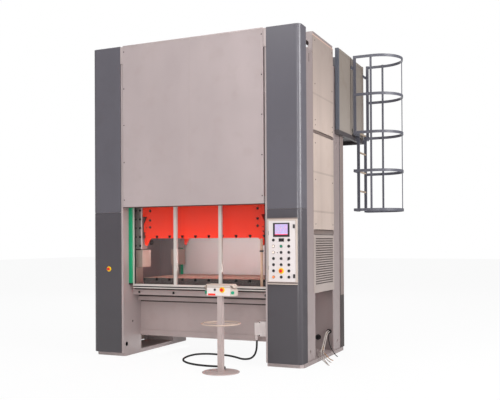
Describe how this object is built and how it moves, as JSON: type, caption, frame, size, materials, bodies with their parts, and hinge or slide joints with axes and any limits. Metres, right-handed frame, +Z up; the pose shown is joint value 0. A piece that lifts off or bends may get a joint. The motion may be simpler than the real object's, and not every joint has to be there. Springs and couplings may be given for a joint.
{
  "type": "hydraulic press",
  "caption": "Straight-sided hydraulic press: crown over a bed on two uprights, slide on corner guides, lifting guards, control stand, rear landing with caged ladder.",
  "frame": {"origin": "centre of the press's foot at floor level, midway between the two uprights", "axes": "+X to the operator's right, +Y to the rear, +Z up; the front guard and the controls face -Y"},
  "size_m": [3.749, 3.502, 4.26],
  "materials": {
    "light_paint": "satin paint",
    "dark_paint": "satin paint",
    "red_paint": "gloss paint",
    "green_paint": "satin paint",
    "white_paint": "satin paint",
    "stop_paint": "satin paint",
    "ladder_paint": "satin paint",
    "guard_aluminium": "anodised",
    "clear_pane": "clear",
    "table_steel": "ground",
    "guide_steel": "ground",
    "chromed_rod": "polished",
    "bright_metal": "polished",
    "screen_bezel": "gloss",
    "black_plastic": "matte",
    "green_plastic": "gloss",
    "red_plastic": "gloss",
    "black_rubber": "matte",
    "cable_sheath": "matte"
  },
  "bodies": {
    "frame": {"upright_right": "light_paint", "upright_left": "light_paint", "bed": "light_paint", "bolster_plate": "table_steel", "crown": "light_paint", "cylinder_barrels": "light_paint", "slide_rails": "guide_steel", "stop_housings": "stop_paint", "pillar_covers_lower": "dark_paint", "pillar_covers_upper": "dark_paint", "crown_panels": "light_paint", "side_panels": "light_paint", "louvre_panels": "light_paint", "guard_guides": "green_paint", "guide_bumpers": "black_plastic", "operator_box": "white_paint", "control_stand": "light_paint", "console": "white_paint", "junction_box": "white_paint", "foot_hose": "black_rubber", "loose_cables": "cable_sheath", "platform_floor": "ladder_paint", "platform_parapets": "light_paint", "ladder": "ladder_paint", "safety_cage": "ladder_paint", "oil_tank": "light_paint", "pump_motor": "dark_paint", "valve_block": "guide_steel"},
    "ram": {"slide": "red_paint", "guide_shoes": "red_paint", "piston_rods": "chromed_rod"},
    "front_guard": {"front_guard_frame": "guard_aluminium", "front_guard_panes": "clear_pane"},
    "rear_guard": {"rear_guard": "light_paint"},
    "gate": {"platform_gate": "light_paint"},
    "door": {"operator_door": "white_paint", "operator_screen": "screen_bezel"},
    "latch_lower": {"latch_lower": "bright_metal"},
    "latch_upper": {"latch_upper": "bright_metal"},
    "button_one": {"button_one": "black_plastic"},
    "selector_one": {"selector_one": "black_plastic"},
    "button_start": {"button_start": "green_plastic"},
    "button_two": {"button_two": "black_plastic"},
    "button_three": {"button_three": "black_plastic"},
    "button_four": {"button_four": "black_plastic"},
    "selector_two": {"selector_two": "black_plastic"},
    "button_five": {"button_five": "black_plastic"},
    "selector_lever": {"selector_lever": "black_plastic"},
    "selector_three": {"selector_three": "black_plastic"},
    "selector_four": {"selector_four": "black_plastic"},
    "selector_five": {"selector_five": "black_plastic"},
    "button_six": {"button_six": "black_plastic"},
    "panel_emergency_stop": {"panel_emergency_stop": "red_plastic"},
    "button_seven": {"button_seven": "black_plastic"},
    "button_eight": {"button_eight": "black_plastic"},
    "start_button_left": {"start_button_left": "green_plastic"},
    "start_button_right": {"start_button_right": "green_plastic"},
    "console_selector": {"console_selector": "black_plastic"},
    "console_emergency_stop": {"console_emergency_stop": "red_plastic"},
    "pillar_emergency_stop": {"pillar_emergency_stop": "red_plastic"}
  },
  "joints": [
    {"name": "ram_slide", "type": "slide", "parent": "frame", "child": "ram", "axis": [0, 0, -1], "range_m": [0, 0.4]},
    {"name": "front_guard_lift", "type": "slide", "parent": "frame", "child": "front_guard", "axis": [0, 0, 1], "range_m": [0, 1.02]},
    {"name": "rear_guard_lift", "type": "slide", "parent": "frame", "child": "rear_guard", "axis": [0, 0, 1], "range_m": [0, 1.02]},
    {"name": "gate_hinge", "type": "hinge", "parent": "frame", "child": "gate", "pos_m": [1.494, 1.6985, 3.6], "axis": [0, 0, 1], "range_deg": [-90, 0]},
    {"name": "door_hinge", "type": "hinge", "parent": "frame", "child": "door", "pos_m": [1.09, -0.915, 1.4], "axis": [0, 0, 1], "range_deg": [-110, 0]},
    {"name": "latch_lower_turn", "type": "hinge", "parent": "door", "child": "latch_lower", "pos_m": [1.419, -0.915, 1.109], "axis": [0, 1, 0], "range_deg": [0, 90]},
    {"name": "latch_upper_turn", "type": "hinge", "parent": "door", "child": "latch_upper", "pos_m": [1.419, -0.915, 1.703], "axis": [0, 1, 0], "range_deg": [0, 90]},
    {"name": "button_one_press", "type": "slide", "parent": "door", "child": "button_one", "axis": [0, 1, 0], "range_m": [0, 0.004], "stiffness_N_per_m": 800},
    {"name": "selector_one_turn", "type": "hinge", "parent": "door", "child": "selector_one", "pos_m": [1.351, -0.915, 1.54], "axis": [0, 1, 0], "range_deg": [-45, 45]},
    {"name": "button_start_press", "type": "slide", "parent": "door", "child": "button_start", "axis": [0, 1, 0], "range_m": [0, 0.004], "stiffness_N_per_m": 800},
    {"name": "button_two_press", "type": "slide", "parent": "door", "child": "button_two", "axis": [0, 1, 0], "range_m": [0, 0.004], "stiffness_N_per_m": 800},
    {"name": "button_three_press", "type": "slide", "parent": "door", "child": "button_three", "axis": [0, 1, 0], "range_m": [0, 0.004], "stiffness_N_per_m": 800},
    {"name": "button_four_press", "type": "slide", "parent": "door", "child": "button_four", "axis": [0, 1, 0], "range_m": [0, 0.004], "stiffness_N_per_m": 800},
    {"name": "selector_two_turn", "type": "hinge", "parent": "door", "child": "selector_two", "pos_m": [1.153, -0.915, 1.318], "axis": [0, 1, 0], "range_deg": [-45, 45]},
    {"name": "button_five_press", "type": "slide", "parent": "door", "child": "button_five", "axis": [0, 1, 0], "range_m": [0, 0.004], "stiffness_N_per_m": 800},
    {"name": "selector_lever_turn", "type": "hinge", "parent": "door", "child": "selector_lever", "pos_m": [1.351, -0.915, 1.318], "axis": [0, 1, 0], "range_deg": [-45, 45]},
    {"name": "selector_three_turn", "type": "hinge", "parent": "door", "child": "selector_three", "pos_m": [1.153, -0.915, 1.244], "axis": [0, 1, 0], "range_deg": [-45, 45]},
    {"name": "selector_four_turn", "type": "hinge", "parent": "door", "child": "selector_four", "pos_m": [1.252, -0.915, 1.244], "axis": [0, 1, 0], "range_deg": [-45, 45]},
    {"name": "selector_five_turn", "type": "hinge", "parent": "door", "child": "selector_five", "pos_m": [1.351, -0.915, 1.244], "axis": [0, 1, 0], "range_deg": [-45, 45]},
    {"name": "button_six_press", "type": "slide", "parent": "door", "child": "button_six", "axis": [0, 1, 0], "range_m": [0, 0.004], "stiffness_N_per_m": 800},
    {"name": "panel_emergency_stop_press", "type": "slide", "parent": "door", "child": "panel_emergency_stop", "axis": [0, 1, 0], "range_m": [0, 0.005]},
    {"name": "button_seven_press", "type": "slide", "parent": "door", "child": "button_seven", "axis": [0, 1, 0], "range_m": [0, 0.004], "stiffness_N_per_m": 800},
    {"name": "button_eight_press", "type": "slide", "parent": "door", "child": "button_eight", "axis": [0, 1, 0], "range_m": [0, 0.004], "stiffness_N_per_m": 800},
    {"name": "start_button_left_press", "type": "slide", "parent": "frame", "child": "start_button_left", "axis": [0.725, 0.6887, 0], "range_m": [0, 0.004], "stiffness_N_per_m": 1500},
    {"name": "start_button_right_press", "type": "slide", "parent": "frame", "child": "start_button_right", "axis": [-0.725, 0.6887, 0], "range_m": [0, 0.004], "stiffness_N_per_m": 1500},
    {"name": "console_selector_turn", "type": "hinge", "parent": "frame", "child": "console_selector", "pos_m": [0.641, -1.47, 0.966], "axis": [0, 1, 0], "range_deg": [-45, 45]},
    {"name": "console_emergency_stop_press", "type": "slide", "parent": "frame", "child": "console_emergency_stop", "axis": [0, 1, 0], "range_m": [0, 0.005]},
    {"name": "pillar_emergency_stop_press", "type": "slide", "parent": "frame", "child": "pillar_emergency_stop", "axis": [0, 1, 0], "range_m": [0, 0.005]}
  ]
}
